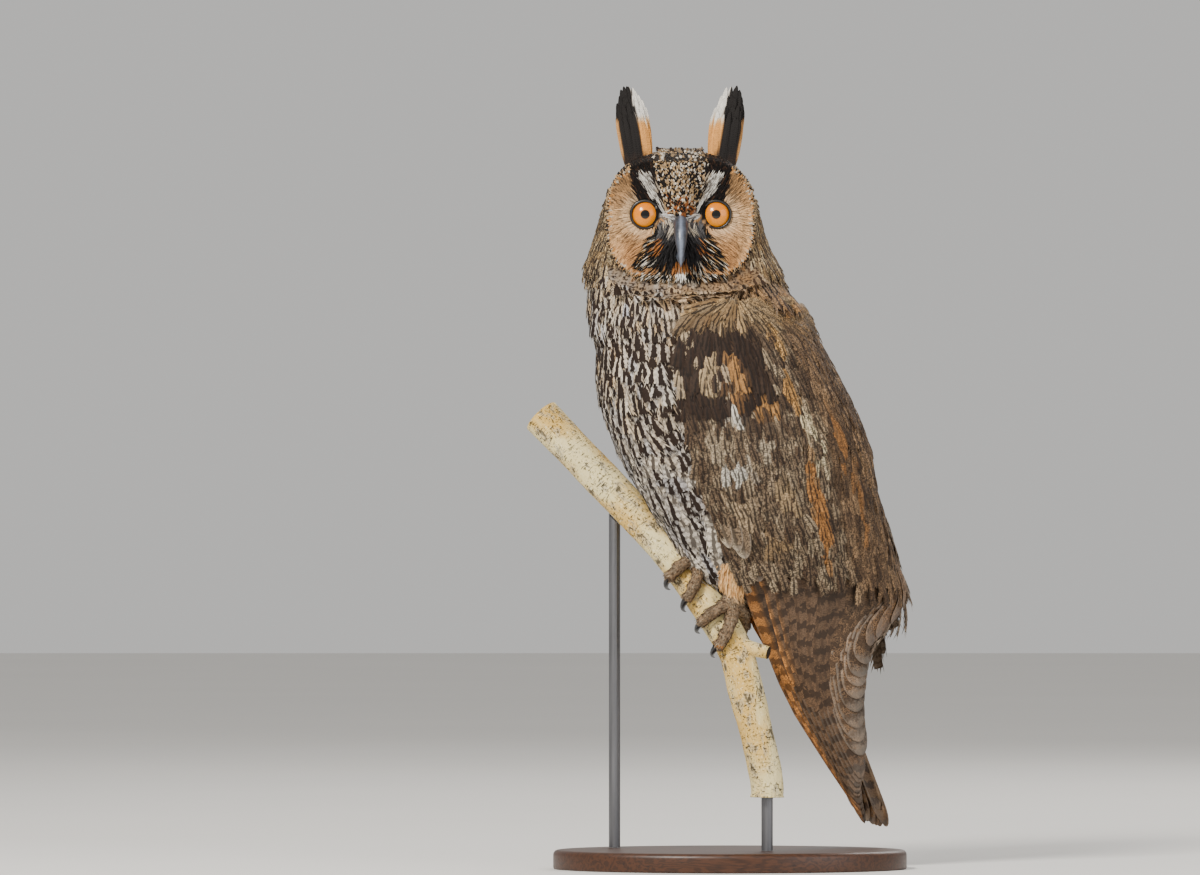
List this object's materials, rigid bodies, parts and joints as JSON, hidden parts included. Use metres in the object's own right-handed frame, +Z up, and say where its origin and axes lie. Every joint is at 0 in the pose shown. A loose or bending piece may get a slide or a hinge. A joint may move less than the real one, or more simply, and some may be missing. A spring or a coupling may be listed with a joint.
{
  "type": "long-eared owl",
  "caption": "Still life-size long-eared owl gripping a cut branch, wings folded, face turned to one side, on a flat oval stand with rods.",
  "frame": {"origin": "middle of the flat underside of the stand's base", "axes": "+Z up; the owl's face looks along -Y; its body is turned so that the breast faces -X and a little -Y; +X towards the tail"},
  "size_m": [0.2002, 0.1332, 0.4066],
  "materials": {
    "face_feathers": "soft matte feathers, tawny buff with black, white and grey marks",
    "body_feathers": "soft matte feathers, buff and grey-white with dark brown streaks",
    "flight_feathers": "satin flight feathers, dark brown with buff bars",
    "ear_feathers": "soft matte feathers, black with buff and white edges",
    "leg_feathers": "short downy feathers, buff to grey-brown",
    "eye": "glossy orange iris with a black pupil",
    "bill": "smooth dark slate horn",
    "claw": "polished black horn",
    "bark": "pale cream bark with dark flecks and cracks",
    "base_wood": "satin dark stained wood",
    "rod": "satin brass"
  },
  "bodies": {
    "root": {"head": "face_feathers", "neck": "body_feathers", "torso": "body_feathers", "tail": "flight_feathers", "wing_left": "flight_feathers", "wing_right": "flight_feathers", "ear_tuft_left": "ear_feathers", "ear_tuft_right": "ear_feathers", "eye_left": "eye", "eye_right": "eye", "bill_upper": "bill", "bill_lower": "bill", "leg_left": "leg_feathers", "leg_right": "leg_feathers", "foot_left": "leg_feathers", "foot_right": "leg_feathers", "claw_left_outer": "claw", "claw_left_inner": "claw", "claw_left_rear_outer": "claw", "claw_left_rear_inner": "claw", "claw_right_outer": "claw", "claw_right_inner": "claw", "claw_right_rear_outer": "claw", "claw_right_rear_inner": "claw", "perch_branch": "bark", "stand_base": "base_wood", "stand_rod_short": "rod", "stand_rod_long": "rod"}
  },
  "joints": []
}
